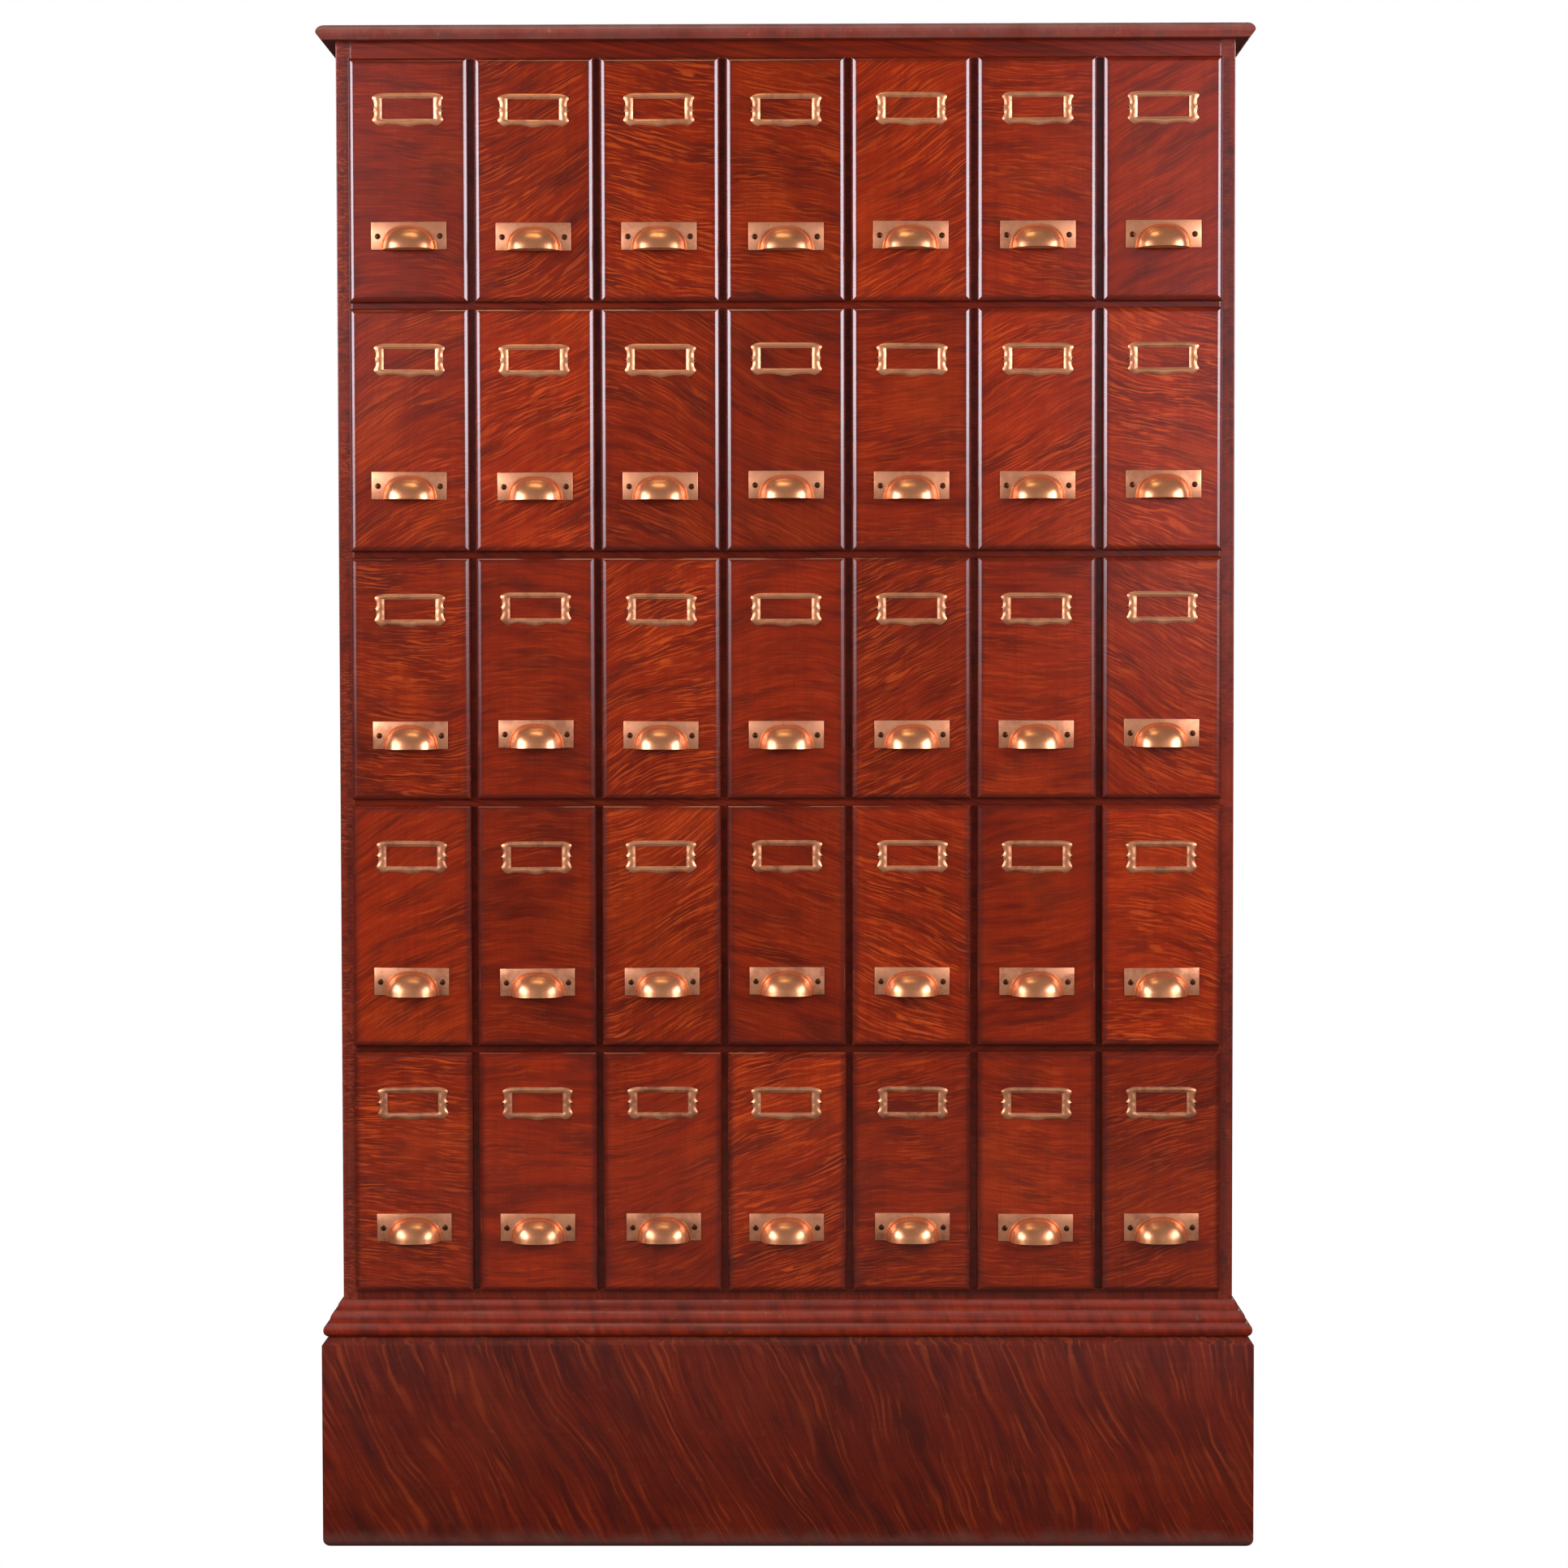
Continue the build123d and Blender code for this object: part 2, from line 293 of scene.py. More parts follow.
def oak(
    name, along, across, face=None, dark=0.0, slope=0.0, bend=1.0, figure=1.0, figured=1.0, short=0.7,
    clouds=0.6, grain=0.10, gloss=1.0, dust_and_sheen=0.0, worn=0.0, scuffed_and_reflecting_foot=False,
):
    """Stained quartersawn oak under old varnish.

    along is the object axis that the grain follows and across the one that the ray flecks follow.
    face gives a drawer front's half width and half height, slope and bend tilt and bow the flecks,
    figure is their size, figured their strength and short the share of it that the short ones get.
    clouds is the strength of the purple clouds and dark threads, and grain that of the growth rings.
    Each piece's object colour shifts its figure, so no two pieces are alike.
    """
    s = Shader(name)
    position = s.node("ShaderNodeTexCoord").outputs["Object"]
    axes = dict(zip("XYZ", s.separate(position)))
    depth_axis = ({"X", "Y", "Z"} - {along, across}).pop()
    a, b, depth = axes[across], axes[along], axes[depth_axis]
    info = s.node("ShaderNodeObjectInfo")
    own = s.separate(info.outputs["Color"])
    own_tone = info.outputs["Alpha"]
    shift = s.multiplied(own, (37.0, 23.0, 51.0))
    place = s.add(s.combine(a, b, depth), shift)

    # The rays run across the board, tilted and bowed by how the log was cut.
    lean = s.math("MULTIPLY_ADD", own[0], 1.3 * bend, slope - 0.65 * bend)
    bow = s.math("MULTIPLY_ADD", own[1], 4.8 * bend, -2.4 * bend)
    wander = s.math("SUBTRACT", s.noise(place, scale=8.0, detail=0.0), 0.5)
    ripple = s.math("SUBTRACT", s.noise(place, scale=30.0, detail=1.0), 0.5)
    flow = s.math("MULTIPLY_ADD", a, lean, b)
    flow = s.math("MULTIPLY_ADD", s.math("MULTIPLY", a, a), bow, flow)
    flow = s.math("MULTIPLY_ADD", wander, 0.034 * bend, flow)
    flow = s.math("MULTIPLY_ADD", ripple, 0.005 * bend, flow)

    def streaks(length, width, detail, salt):
        """Noise drawn out along the rays; the salt keeps one layer from repeating another."""
        drawn_out = s.stretched((a, flow, depth), (length, width, 0.01))
        return s.noise(s.add(s.add(drawn_out, shift), (salt, salt, salt)), detail=detail)

    broad = s.noise(place, scale=9.0, detail=2.0, roughness=0.55)
    stain = s.noise(s.add(place, (5.0, 3.0, 1.0)), scale=26.0, detail=3.0, roughness=0.6)
    band = streaks(0.07, 0.011, 2.0, 3.1)
    cloud = streaks(0.06 * figure, 0.022 * figure, 2.0, 5.7)
    # Long flecks lie side by side like the teeth of a comb; short ones fill in between them.
    jitter = s.math("MULTIPLY", streaks(0.08 * figure, 0.014 * figure, 2.0, 8.7), 4.0)
    tooth = s.math("ADD", s.math("DIVIDE", flow, 0.0050 * figure), jitter)
    teeth = s.math("COSINE", s.math("MULTIPLY", tooth, math.tau))
    presence = s.step(streaks(0.030 * figure, 0.0065 * figure, 1.0, 12.9), 0.46, 0.60)
    long_fleck = s.math("MULTIPLY", s.step(teeth, 0.15, 0.95), presence)
    short_fleck = s.step(streaks(0.020 * figure, 0.0015 * figure, 1.0, 15.3), 0.52, 0.68)
    thread = streaks(0.050 * figure, 0.0010 * figure, 2.0, 21.9)
    patches = s.noise(s.add(place, (9.0, 9.0, 9.0)), scale=15.0, detail=1.0)
    cluster = s.step(patches, 0.36, 0.60, 0.4, 1.0)
    strongest = s.math("MAXIMUM", long_fleck, s.math("MULTIPLY", short_fleck, short))
    fleck = s.math("MULTIPLY", strongest, cluster)

    # Growth rings show as fine lines along the grain, and pores as short dark scratches in them.
    ring_place = s.stretched((a, b, depth), (0.005, 0.45, 0.005))
    rings = s.step(s.noise(s.add(ring_place, shift), detail=3.0, roughness=0.6), 0.44, 0.66)
    pore_place = s.stretched((a, b, depth), (0.0007, 0.011, 0.0007))
    pores = s.step(s.noise(pore_place, detail=1.0), 0.58, 0.72)

    deep = srgb(106, 22, 0)
    red = srgb(149, 37, 0)
    orange = srgb(166, 51, 0)
    purple = srgb(82, 24, 11)
    pale = srgb(194, 73, 16)
    ring_brown = srgb(54, 16, 8)
    pore_brown = srgb(38, 12, 9)
    colour = s.mix(s.step(band, 0.25, 0.60), deep, red)
    colour = s.mix(s.math("MULTIPLY", s.step(broad, 0.50, 0.72), 0.75), colour, orange)
    colour = s.mix(s.step(cloud, 0.48, 0.72, 0.0, clouds), colour, purple)
    vigour = s.math("MULTIPLY_ADD", own[2], 0.75 * figured, 0.20 * figured)
    colour = s.mix(s.step(thread, 0.42, 0.62, 0.7 * clouds, 0.0), colour, deep)
    colour = s.mix(s.math("MULTIPLY", fleck, vigour), colour, pale)
    colour = s.mix(s.math("MULTIPLY", rings, grain), colour, ring_brown)
    colour = s.mix(s.math("MULTIPLY", pores, 0.18), colour, pore_brown)
    shade = s.noise(s.add(place, (2.0, 7.0, 4.0)), scale=4.0, detail=3.0, roughness=0.6)
    # How light the board is varies within it and from piece to piece.
    tone = s.math("MULTIPLY_ADD", own_tone, 0.24, s.step(shade, 0.3, 0.7, 0.54 - dark, 0.68 - dark))
    colour = s.mix(1.0, colour, s.combine(tone, tone, tone), blend="MULTIPLY")

    roughness = s.math("MULTIPLY_ADD", stain, 0.16, 0.36)
    height = s.math("MULTIPLY_ADD", pores, -0.55, s.math("MULTIPLY", fleck, 0.16))
    waves = s.noise(place, scale=55.0, detail=1.0)
    normal = s.bump(waves, 0.10, 0.004)
    normal = s.bump(height, 0.22, 0.0004, normal)

    if face is not None:
        # The face darkens in a thin, ragged band just inside its edges.
        half_a, half_b = face
        edge_a = s.math("SUBTRACT", half_a, s.math("ABSOLUTE", a))
        edge_b = s.math("SUBTRACT", half_b, s.math("ABSOLUTE", b))
        edge = s.math("MINIMUM", edge_a, edge_b)
        darkening_brown = srgb(58, 20, 14)
        darkening = s.step(s.math("MULTIPLY_ADD", stain, 0.004, edge), 0.0045, 0.011, 0.55, 0.0)
        colour = s.mix(darkening, colour, darkening_brown)
    if dust_and_sheen:
        # Whatever faces up is greyed, partly by dust and old polish and partly as a painted sheen of the
        # light from above, and knocks leave pale scuffs.
        upward = s.separate(s.node("ShaderNodeTexCoord").outputs["Normal"])[2]
        dust_and_sheen_amount = s.math("MULTIPLY_ADD", s.step(upward, 0.05, 0.85), 0.6 * dust_and_sheen, 0.06 * dust_and_sheen + worn)
        dust_and_sheen_grey = srgb(132, 92, 84)
        scuff_tan = srgb(158, 104, 82)
        dust = s.math("MULTIPLY", dust_and_sheen_amount, s.step(stain, 0.25, 0.65, 0.6, 1.0))
        colour = s.mix(dust, colour, dust_and_sheen_grey)
        scuffs = s.step(s.noise(place, scale=90.0, detail=3.0, roughness=0.7), 0.62, 0.74)
        colour = s.mix(s.math("MULTIPLY", scuffs, 0.4 * dust_and_sheen), colour, scuff_tan)
        roughness = s.math("MULTIPLY_ADD", dust_and_sheen_amount, 0.25, roughness)
    if scuffed_and_reflecting_foot:
        # The foot is greyed in a ragged band, partly by scuffs where shoes and mops reach it and partly as a
        # painted reflection of a pale floor.
        foot_scuff_and_reflection_grey = srgb(92, 58, 50)
        ragged = s.math("MULTIPLY_ADD", s.noise(place, scale=60.0, detail=3.0), 0.020, axes["Z"])
        colour = s.mix(s.step(ragged, 0.012, 0.032, 0.75, 0.0), colour, foot_scuff_and_reflection_grey)

    s.set(Base_Color=colour, Roughness=roughness, Normal=normal)
    s.set(Coat_Weight=gloss, Coat_Roughness=0.15 + 0.3 * (1 - gloss), Coat_IOR=1.6, IOR=1.45)
    s.set(Specular_IOR_Level=0.12)
    return s.material


def plain_wood(name, along, across, end_grain=False):
    """Unvarnished softwood, darkened by age and handling."""
    s = Shader(name)
    position = s.node("ShaderNodeTexCoord").outputs["Object"]
    axes = dict(zip("XYZ", s.separate(position)))
    depth_axis = ({"X", "Y", "Z"} - {along, across}).pop()
    a, b, depth = axes[across], axes[along], axes[depth_axis]
    info = s.node("ShaderNodeObjectInfo")
    own = s.separate(info.outputs["Color"])
    shift = s.multiplied(own, (19.0, 31.0, 43.0))
    place = s.add(s.stretched((a, b, depth), (0.045, 0.9, 0.045)), shift)
    across_rings = s.math("DIVIDE", a, 0.022)
    rings = s.math("FRACT", s.math("MULTIPLY_ADD", s.noise(place, detail=1.0), 7.0, across_rings))
    late = s.math("MULTIPLY", s.step(rings, 0.15, 0.8), s.step(rings, 0.84, 0.99, 1.0, 0.0))
    fibre = s.noise(s.stretched((a, b, depth), (0.0012, 0.03, 0.0012)), detail=2.0)
    dust = s.noise(s.add(position, shift), scale=6.0, detail=6.0, roughness=0.65)
    early_wood, late_wood = srgb(172, 130, 86), srgb(143, 94, 55)
    fibre_brown, dust_brown, end_brown = srgb(118, 80, 50), srgb(98, 70, 50), srgb(84, 52, 32)
    colour = s.mix(s.math("MULTIPLY", late, 0.7), early_wood, late_wood)
    colour = s.mix(s.math("MULTIPLY", fibre, 0.35), colour, fibre_brown)
    colour = s.mix(s.step(dust, 0.45, 0.80, 0.0, 0.5), colour, dust_brown)
    if end_grain:
        colour = s.mix(0.55, colour, end_brown)
    normal = s.bump(s.math("ADD", fibre, late), 0.25, 0.0004)
    s.set(Base_Color=colour, Roughness=s.math("MULTIPLY_ADD", dust, 0.2, 0.6), Normal=normal)
    return s.material


# ------------------------------------------------------------------ brass


def brass(name, colour_clean, roughness, tarnish_and_shade_strength):
    """Pressed brass with a copper tone, its tarnish different on every drawer and, in the lower rows, also
    standing for painted shade.

    It is a little less than fully metallic, for the haze that handling leaves on it.
    """
    s = Shader(name)
    position = s.node("ShaderNodeTexCoord").outputs["Object"]
    info = s.node("ShaderNodeObjectInfo")
    own = s.separate(info.outputs["Color"])
    place = s.add(position, s.combine(own[0], own[1], own[2]))
    cloud = s.noise(place, scale=55.0, detail=4.0, roughness=0.6)
    fine = s.noise(place, scale=420.0, detail=2.0)
    # The object colour's alpha sets how much tarnish the brass gets, and in the lower rows painted shade as
    # well.
    amount = s.math("MULTIPLY_ADD", info.outputs["Alpha"], 0.6 * tarnish_and_shade_strength, 0.1 * tarnish_and_shade_strength)
    tarnish_and_shade = s.math("MULTIPLY", s.step(cloud, 0.38, 0.70), amount)
    tarnish_and_shade_brown, speck_brown = srgb(118, 60, 40), srgb(160, 98, 64)
    colour = s.mix(tarnish_and_shade, colour_clean, tarnish_and_shade_brown)
    colour = s.mix(s.step(fine, 0.62, 0.8, 0.0, 0.15 * tarnish_and_shade_strength), colour, speck_brown)
    haze = s.math("MULTIPLY_ADD", fine, 0.08, roughness)
    s.set(Base_Color=colour, Roughness=s.math("MULTIPLY_ADD", tarnish_and_shade, 0.20, haze), Metallic=0.80)
    s.set(Normal=s.bump(cloud, 0.12, 0.001))
    return s.material


def screw_metal(name):
    """Darkened metal with grime in it."""
    s = Shader(name)
    position = s.node("ShaderNodeTexCoord").outputs["Object"]
    darkening = s.noise(position, scale=900.0, detail=3.0)
    bare_brown, darkening_brown = srgb(120, 74, 48), srgb(48, 28, 20)
    colour = s.mix(s.step(darkening, 0.35, 0.7), bare_brown, darkening_brown)
    s.set(Base_Color=colour, Roughness=s.math("MULTIPLY_ADD", darkening, 0.3, 0.3), Metallic=1.0)
    return s.material


# ------------------------------------------------------------------ materials in use

face_edges = (FACE_WIDTH / 2, FACE_HEIGHT / 2)
oak_face = oak("oak_drawer_face", "Z", "X", face=face_edges)
oak_upright = oak(
    "oak_upright", "Z", "Y", dark=0.18, bend=0.7, figured=1.3, clouds=0.15, grain=0.4, dust_and_sheen=0.25, worn=0.05,
)
# The partition edges sit back in the gaps between the fronts; they are made extra dark as painted shade.
oak_divider = oak("oak_divider", "Z", "Y", dark=0.34, figured=0.3)
oak_rail = oak("oak_rail", "X", "Z", dark=0.16, figured=0.4, grain=0.4)
# The shelf edges show in the gaps between the rows; they are made extra dark as painted shade.
oak_shelf = oak("oak_shelf_edge", "X", "Z", dark=0.32, figured=0.3)
moulding_look = {"dark": 0.03, "bend": 0.2, "figured": 0.2, "grain": 0.5, "gloss": 0.5, "dust_and_sheen": 0.5}
oak_moulding = oak("oak_moulding", "X", "Z", **moulding_look)
oak_moulding_side = oak("oak_moulding_side", "Y", "Z", **moulding_look)
plinth_look = {
    "dark": 0.30, "bend": 1.3, "figure": 2.2, "figured": 1.9, "short": 0.35, "gloss": 0.6, "dust_and_sheen": 0.15,
    "scuffed_and_reflecting_foot": True,
}
oak_plinth = oak("oak_plinth", "X", "Z", slope=1.2, **plinth_look)
oak_plinth_side = oak("oak_plinth_side", "Y", "Z", slope=0.3, **plinth_look)
oak_top = oak("oak_top", "X", "Y", dark=0.05, figured=0.4, grain=0.5, gloss=0.35, dust_and_sheen=1.0, worn=0.3)
pine_panel = plain_wood("pine_panel", "X", "Y")
pine_upright = plain_wood("pine_upright", "Z", "X")
pine_box = plain_wood("pine_box", "Y", "Z")
pine_end = plain_wood("pine_end_grain", "Y", "Z", end_grain=True)
brass_plate = brass("brass_plate", srgb(238, 164, 120), 0.32, 1.0)
brass_frame = brass("brass_label_frame", srgb(226, 156, 112), 0.34, 1.1)
brass_cup = brass("brass_cup", srgb(238, 160, 110), 0.24, 0.5)
screw_dark = screw_metal("screw_darkened")


def dress(obj, *materials):
    obj.data.materials.clear()
    for material in materials:
        obj.data.materials.append(material)


rng = random.Random(SEED)


def vary(obj):
    """Gives a piece its own figure and tone through its object colour."""
    obj.color = (rng.random(), rng.random(), rng.random(), rng.random())


# ------------------------------------------------------------------ carcass boards


def place_piece(obj, body, node):
    """Gives a piece its own look and its body, and hides the CAD node that it replaces."""
    vary(obj)
    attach(obj, body)
    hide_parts(node)


def board_piece(name, boards, bevel, material, node):
    """One piece made of one or more boards, each given as its low and high corners."""
    bm = bmesh.new()
    for low, high in boards:
        add_board(bm, low, high, bevel)
    obj = new_object(name, finish_mesh(bm, name))
    dress(obj, material)
    weigh_normals(obj)
    place_piece(obj, "carcass", node)


for name in ("left_side", "right_side"):
    board_piece(name + "_panel", [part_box(name)], 0.8 * MM, oak_upright, name)

board_piece("top_rail_board", [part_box("top_rail")], 0.5 * MM, oak_rail, "top_rail")
board_piece("bottom_rail_board", [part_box("bottom_rail")], 0.5 * MM, oak_rail, "bottom_rail")
board_piece("plinth_back_board", [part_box("plinth_back")], 1.0 * MM, pine_panel, "plinth_back")
board_piece("bottom_dust_board", [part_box("bottom_board")], 0.5 * MM, pine_panel, "bottom_board")
board_piece("top_inner_panel", [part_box("top_panel")], 0.5 * MM, pine_panel, "top_panel")

# A shelf is an oak edge with a pine board behind it.
SHELF_EDGE_DEPTH = 30 * MM
shelf_nodes = sorted(node for node in frame["nodes"] if node.startswith("shelf_"))
for node in shelf_nodes:
    low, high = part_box(node)
    edge_y = low.y + SHELF_EDGE_DEPTH
    bm = bmesh.new()
    add_board(bm, low, (high.x, edge_y, high.z), 0.6 * MM, material=0)
    add_board(bm, (low.x, edge_y, low.z), high, 0.4 * MM, material=1)
    shelf = new_object(node + "_boards", finish_mesh(bm, node))
    dress(shelf, oak_shelf, pine_panel)
    weigh_normals(shelf)
    place_piece(shelf, "carcass", node)

shelf_levels = sorted(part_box(node)[0].z for node in shelf_nodes)
shelf_tops = sorted(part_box(node)[1].z for node in shelf_nodes)
opening_floors = [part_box("bottom_board")[1].z] + shelf_tops
opening_heads = shelf_levels + [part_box("top_rail")[0].z]
for node in sorted(node for node in frame["nodes"] if node.startswith("partition_")):
    low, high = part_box(node)
    uprights = [
        ((low.x, low.y, floor), (high.x, high.y, head))
        for floor, head in zip(opening_floors, opening_heads)
    ]
    board_piece(node + "_uprights", uprights, 0.6 * MM, oak_divider, node)

# The back is seven boards side by side, each edge eased so that the joints show.
low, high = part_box("back_boards")
BACK_BOARD_COUNT = 7
BACK_BOARD_SHY = 0.2 * MM
pitch = (high.x - low.x) / BACK_BOARD_COUNT
back = []
for i in range(BACK_BOARD_COUNT):
    board_left = low.x + i * pitch + BACK_BOARD_SHY
    board_right = low.x + (i + 1) * pitch - BACK_BOARD_SHY
    back.append(((board_left, low.y, low.z), (board_right, high.y, high.z)))
board_piece("back_panel_boards", back, 1.2 * MM, pine_upright, "back_boards")

# A glue block stands in each corner inside the plinth, and two more behind its front.
blocks_low, blocks_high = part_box("glue_blocks")
BLOCK = 38 * MM
block_boards = []
for x in (blocks_low.x, blocks_high.x - BLOCK):
    for y in (blocks_low.y, blocks_high.y - BLOCK):
        block_boards.append(((x, y, blocks_low.z), (x + BLOCK, y + BLOCK, blocks_high.z)))
for sign in (-1, 1):
    x = sign * INSIDE_HALF / 3 - BLOCK / 2
    block_boards.append(((x, blocks_low.y, blocks_low.z), (x + BLOCK, blocks_low.y + BLOCK, blocks_high.z)))
board_piece("glue_block_set", block_boards, 1.5 * MM, pine_upright, "glue_blocks")


# ------------------------------------------------------------------ base: plinth and moulding


UNEVEN_SCALE = 9


def skirt_strip(name, profile, side, steps, uneven):
    """A mitred strip along the front (side 0) or along one flank (side -1 or 1).

    Each point of profile is how far out from the carcass and how high it lies. Away from the carcass
    the surface wanders up and down by up to uneven.
    """
    bm = bmesh.new()
    rings = []
    for i in range(steps + 1):
        t = i / steps
        ring = []
        for out, z in profile:
            if side == 0:
                reach = CARCASS_HALF + out
                point = Vector((-reach + 2 * reach * t, FRONT_Y - out, z))
            else:
                start = FRONT_Y - out
                point = Vector((side * (CARCASS_HALF + out), start + (BACK_Y - start) * t, z))
            if out > 0 and 0 < i < steps:
                wobble = noise.noise(point * UNEVEN_SCALE) * uneven
                point.z += wobble if z > MM else 0
            ring.append(point)
        rings.append(ring)
    add_loft(bm, rings, closed=True, cap=True)
    obj = new_object(name, finish_mesh(bm, name))
    obj.data.set_sharp_from_angle(angle=math.radians(SHARP_ABOVE))
    return obj


# The plinth: a round at the foot and a bevel above.
FOOT_ROUND = 9 * MM
plinth_out = PLINTH_HALF - CARCASS_HALF
foot = arc((plinth_out - FOOT_ROUND, FOOT_ROUND), (FOOT_ROUND, FOOT_ROUND), -90, 0, 6)
plinth_profile = [(0, 0), *foot]
plinth_profile += [(plinth_out, PLINTH_TOP - 8.4 * MM), (plinth_out - 0.2 * MM, PLINTH_TOP - 7.8 * MM)]
plinth_profile += [(plinth_out - 6.8 * MM, PLINTH_TOP - 0.2 * MM), (plinth_out - 7.2 * MM, PLINTH_TOP)]
plinth_profile += [(0, PLINTH_TOP)]

# The moulding, from the top down: a quarter round, an ovolo and a torus.
top = MOULDING_TOP
moulding_profile = [(0, PLINTH_TOP), (0, top)]
moulding_profile += arc((0.2 * MM, top - 7.5 * MM), (5.3 * MM, 7.5 * MM), 90, 0, 7)[1:]
moulding_profile += [(5.5 * MM, top - 10 * MM)]
moulding_profile += arc((6.0 * MM, top - 20 * MM), (6.6 * MM, 10 * MM), 90, 0, 8)
moulding_profile += [(12.4 * MM, top - 21.8 * MM)]
torus_middle = (top - 21.8 * MM + PLINTH_TOP) / 2
torus_half = (top - 21.8 * MM - PLINTH_TOP) / 2
moulding_profile += arc((12.6 * MM, torus_middle), (6.0 * MM, torus_half), 90, -90, 14)

PLINTH_STEPS = 48
MOULDING_STEPS = 60
for side, label, plinth_wood, moulding_wood in (
    (0, "front", oak_plinth, oak_moulding),
    (-1, "left", oak_plinth_side, oak_moulding_side),
    (1, "right", oak_plinth_side, oak_moulding_side),
):
    strip = skirt_strip(f"plinth_{label}_board", plinth_profile, side, PLINTH_STEPS, 0.25 * MM)
    dress(strip, plinth_wood)
    place_piece(strip, "carcass", f"plinth_{label}")
    strip = skirt_strip(f"base_moulding_{label}", moulding_profile, side, MOULDING_STEPS, 0.3 * MM)
    dress(strip, moulding_wood)
    place_piece(strip, "carcass", "base_moulding")


# ------------------------------------------------------------------ top board

low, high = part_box("top_board")
TOP_ROUND = (10 * MM, 8.5 * MM)
TOP_UNDERCUT = (5 * MM, 6 * MM)
# The top and underside are each closed by one flat face that starts this far in from the edge.
TOP_FLAT_INSET = 0.05
nose = [(TOP_FLAT_INSET, 0.0), (TOP_UNDERCUT[0], 0.0)]
nose += [(0.4 * MM, TOP_UNDERCUT[1] - 0.6 * MM)]
thickness = high.z - low.z
nose += arc((TOP_ROUND[0], thickness - TOP_ROUND[1]), TOP_ROUND, 180, 90, 9)
nose += [(TOP_FLAT_INSET, thickness)]
bm = bmesh.new()
steps_x, steps_y = 40, 16
rings = []
for inset, rise in nose:
    ring = []
    left, right, near, far = low.x + inset, high.x - inset, low.y + inset, high.y
    ring += [Vector((left, far + (near - far) * i / steps_y, low.z + rise)) for i in range(steps_y)]
    ring += [Vector((left + (right - left) * i / steps_x, near, low.z + rise)) for i in range(steps_x)]
    ring += [Vector((right, near + (far - near) * i / steps_y, low.z + rise)) for i in range(steps_y)]
    ring += [Vector((right + (left - right) * i / steps_x, far, low.z + rise)) for i in range(steps_x)]
    rings.append(ring)
add_loft(bm, rings, closed=True, cap=True)
top_board = new_object("top_board_slab", finish_mesh(bm, "top_board_slab"))
top_board.data.set_sharp_from_angle(angle=math.radians(SHARP_ABOVE))
dress(top_board, oak_top)
place_piece(top_board, "carcass", "top_board")


# ------------------------------------------------------------------ drawer face and box

# The face's edge falls away in a soft chamfer; each station is how far in from the edge and how far
# behind the front it lies, in millimetres.
FACE_EDGE = (
    (0.0, 8.0), (0.0, 5.0), (0.1, 4.1), (0.4, 3.3), (0.9, 2.6), (1.6, 1.95),
    (2.4, 1.35), (3.2, 0.88), (4.0, 0.48), (4.8, 0.17), (5.6, 0.0),
)
bm = bmesh.new()
rings = []
for inset, depth in FACE_EDGE:
    x, z = FACE_WIDTH / 2 - inset * MM, FACE_HEIGHT / 2 - inset * MM
    y = depth * MM - FACE_THICKNESS / 2
    rings.append([(-x, y, -z), (x, y, -z), (x, y, z), (-x, y, z)])
rows = add_loft(bm, rings, closed=True, cap=True)
# The mitre lines at the corners stay sharp.
for first, second in zip(rows, rows[1:]):
    for a, b in zip(first, second):
        bm.edges.get((a, b)).smooth = False
face_mesh = finish_mesh(bm, "drawer_face")
face_mesh.materials.append(oak_face)

# Dovetails join a box's sides to its inner front.
TAILS = 6
TAIL_FLARE = 3 * MM
TAIL_ROOT_SHARE = 0.30
TAIL_CRACK = 0.15 * MM
BOX_EASE = 0.5 * MM
BOTTOM_EASE = 0.3 * MM


def add_prism(bm, outline, low_x, high_x, material):
    """A flat outline in Y and Z given a thickness in X."""
    rings = [[(x, y, z) for y, z in outline] for x in (low_x, high_x)]
    add_loft(bm, rings, closed=True, cap=True, material=material)


half_box = FACE_WIDTH / 2 - BOX_SIDE_INSET
wall_start = BOX_INNER_FRONT
bottom_top = BOX_BOTTOM_RAISE + BOX_BOTTOM
inner = half_box - BOX_WALL
bm = bmesh.new()
add_board(bm, (-inner, 0, 0), (inner, BOX_INNER_FRONT, BOX_HEIGHT), BOX_EASE)
add_board(bm, (-inner, BOX_LENGTH - BOX_WALL, bottom_top), (inner, BOX_LENGTH, BOX_HEIGHT), BOX_EASE)
add_board(bm, (-inner, wall_start, BOX_BOTTOM_RAISE), (inner, BOX_LENGTH, bottom_top), BOTTOM_EASE)
tail_pitch = BOX_HEIGHT / TAILS
for sign in (-1, 1):
    outer = sorted([sign * inner, sign * half_box])
    add_board(bm, (outer[0], wall_start, 0), (outer[1], BOX_LENGTH, BOX_HEIGHT), BOX_EASE)
    for i in range(TAILS):
        middle = (i + 0.5) * tail_pitch
        root = tail_pitch * TAIL_ROOT_SHARE
        tip = root + TAIL_FLARE
        crack = TAIL_CRACK
        tail = [(wall_start, middle - root), (crack, middle - tip)]
        tail += [(crack, middle + tip), (wall_start, middle + root)]
        add_prism(bm, tail, outer[0], outer[1], 0)
        below = [(wall_start, middle - tail_pitch / 2), (crack, middle - tail_pitch / 2)]
        below += [(crack, middle - tip - crack), (wall_start, middle - root - crack)]
        above = [(wall_start, middle + root + crack), (crack, middle + tip + crack)]
        above += [(crack, middle + tail_pitch / 2), (wall_start, middle + tail_pitch / 2)]
        for pin in (below, above):
            add_prism(bm, pin, outer[0], outer[1], 1)
box_mesh = finish_mesh(bm, "drawer_box", smooth=False)
box_mesh.materials.append(pine_box)
box_mesh.materials.append(pine_end)


# ------------------------------------------------------------------ brass pull and label frame
# Built about the middle of the face's front surface, -Y towards the viewer.

